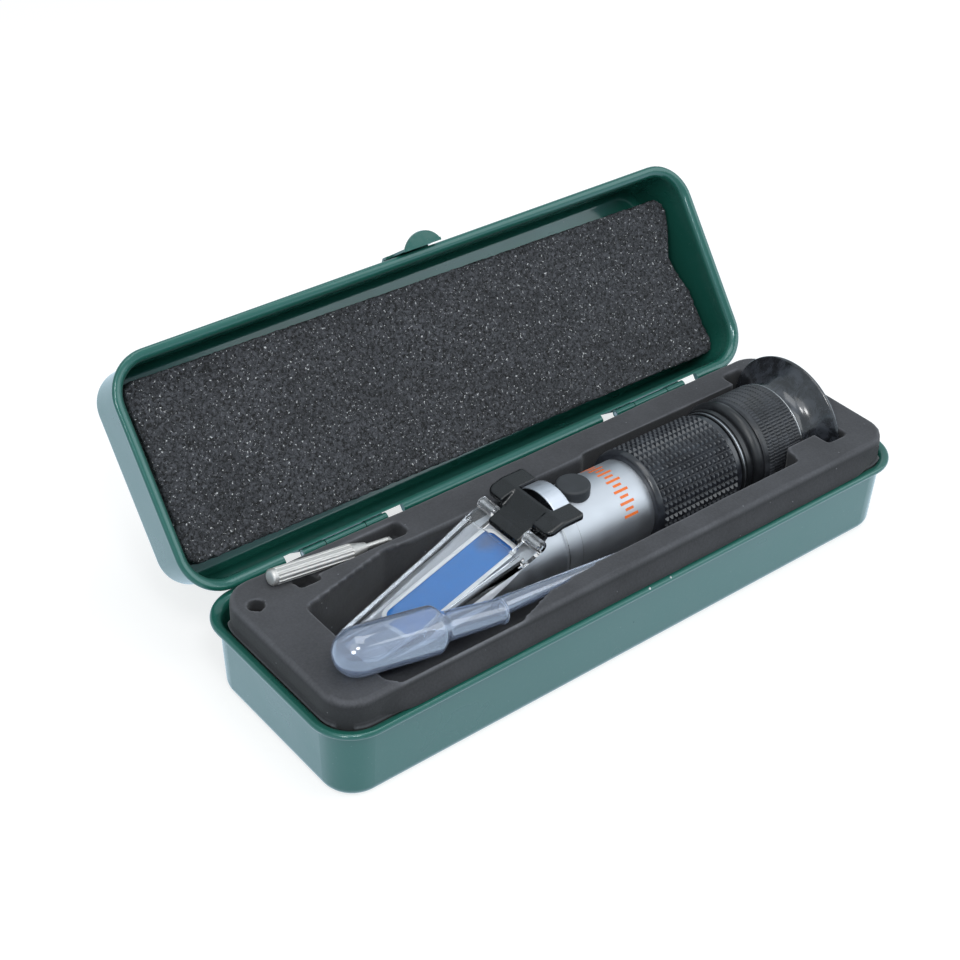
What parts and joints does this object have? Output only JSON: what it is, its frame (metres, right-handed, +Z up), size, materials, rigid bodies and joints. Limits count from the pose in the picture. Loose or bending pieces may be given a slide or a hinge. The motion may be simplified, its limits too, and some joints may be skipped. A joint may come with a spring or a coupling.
{
  "type": "coolant refractometer",
  "caption": "Handheld optical refractometer lying in a foam-lined hinged steel case, with a dropper pipette and a small screwdriver.",
  "frame": {"origin": "centre of the case base's flat underside, where it stands on a bench", "axes": "+X along the case towards the eyecup, +Y towards the lid's hinge, +Z up"},
  "size_m": [0.205, 0.1213, 0.086],
  "materials": {
    "green_enamel": "gloss stove enamel on pressed steel",
    "hinge_enamel": "gloss enamel over folded tin",
    "hinge_pin_steel": "drawn wire",
    "clasp_enamel": "gloss enamel over spring steel",
    "eva_foam": "closed cell foam, die cut, matt",
    "open_sponge": "open cell sponge, cut faces",
    "satin_aluminium": "satin silver anodised",
    "cast_housing": "satin silver painted casting",
    "prism_glass": "polished, blue from within",
    "clear_acrylic": "clear moulded, slightly frosted inside",
    "black_abs": "satin moulded",
    "bright_leaf": "bright spring strip",
    "pin_steel": "turned steel",
    "brass_bush": "turned brass",
    "cap_rubber": "matt moulded rubber",
    "grip_rubber": "semi-gloss moulded rubber with raised studs",
    "polished_trim": "bright turned ring",
    "black_anodised": "black anodised, semi-gloss",
    "lens_glass": "coated lens",
    "eyecup_rubber": "soft moulded rubber, semi-gloss",
    "ldpe": "translucent blow moulded polyethylene",
    "nickel_plate": "nickel plated, fluted",
    "bimetal": "rolled strip"
  },
  "bodies": {
    "case": {"base_tray": "green_enamel", "base_foam": "eva_foam", "base_leaf_left": "hinge_enamel", "base_leaf_right": "hinge_enamel", "hinge_pin_left": "hinge_pin_steel", "hinge_pin_right": "hinge_pin_steel"},
    "lid": {"lid_tray": "green_enamel", "lid_sponge": "open_sponge", "lid_clasp": "clasp_enamel", "clasp_rivets": "clasp_enamel", "lid_leaf_left": "hinge_enamel", "lid_leaf_right": "hinge_enamel"},
    "refractometer": {"body_tube": "satin_aluminium", "prism_housing": "cast_housing", "prism": "prism_glass", "plate_hinge_pin": "pin_steel", "saddle_block": "black_abs", "saddle_leaf": "bright_leaf", "screw_bush": "brass_bush", "rubber_grip": "grip_rubber", "trim_ring": "polished_trim", "eyepiece_collar": "black_anodised", "bimetal_frame": "bimetal", "objective_lens": "lens_glass", "objective_ring": "black_anodised", "reticle": "lens_glass", "reticle_ring": "black_anodised"},
    "cover_plate": {"daylight_plate": "clear_acrylic"},
    "cap": {"screw_cap": "cap_rubber"},
    "screw": {"calibration_screw": "pin_steel"},
    "eyepiece": {"focus_ring": "black_abs", "eyecup": "eyecup_rubber"},
    "lens_carrier": {"lens_cell": "black_anodised", "eyepiece_lens": "lens_glass", "lens_retainer": "black_anodised"},
    "dropper": {"pipette": "ldpe"},
    "screwdriver": {"screwdriver_handle": "nickel_plate", "screwdriver_blade": "pin_steel"}
  },
  "joints": [
    {"name": "lid_hinge", "type": "hinge", "parent": "case", "child": "lid", "pos_m": [0, 0.0329, 0.0257], "axis": [-1, 0, 0], "range_deg": [-126.7, 0], "deforming": ["lid_sponge"]},
    {"name": "refractometer_lift", "type": "slide", "parent": "case", "child": "refractometer", "axis": [0, 0, 1], "range_m": [0, 0.06]},
    {"name": "plate_hinge", "type": "hinge", "parent": "refractometer", "child": "cover_plate", "pos_m": [-0.0223, 0, 0.035], "axis": [0, 1, 0], "range_deg": [0, 95]},
    {"name": "cap_pull", "type": "slide", "parent": "refractometer", "child": "cap", "axis": [0, 0, 1], "range_m": [0, 0.01]},
    {"name": "screw_turn", "type": "hinge", "parent": "refractometer", "child": "screw", "pos_m": [-0.0005, 0, 0.0345], "axis": [0, 0, 1], "range_deg": [-180, 180]},
    {"name": "focus_turn", "type": "hinge", "parent": "refractometer", "child": "eyepiece", "pos_m": [0.0695, 0, 0.0243], "axis": [1, 0, 0], "range_deg": [0, 180]},
    {"name": "lens_travel", "type": "slide", "parent": "refractometer", "child": "lens_carrier", "axis": [1, 0, 0], "range_m": [0, 0.002]},
    {"name": "pipette_lift", "type": "slide", "parent": "case", "child": "dropper", "axis": [0, 0, 1], "range_m": [0, 0.06]},
    {"name": "screwdriver_lift", "type": "slide", "parent": "case", "child": "screwdriver", "axis": [0, 0, 1], "range_m": [0, 0.04]}
  ],
  "couplings": [
    {"joint": "lens_travel", "follows": "focus_turn", "m_per_rad": 0.00063662}
  ]
}
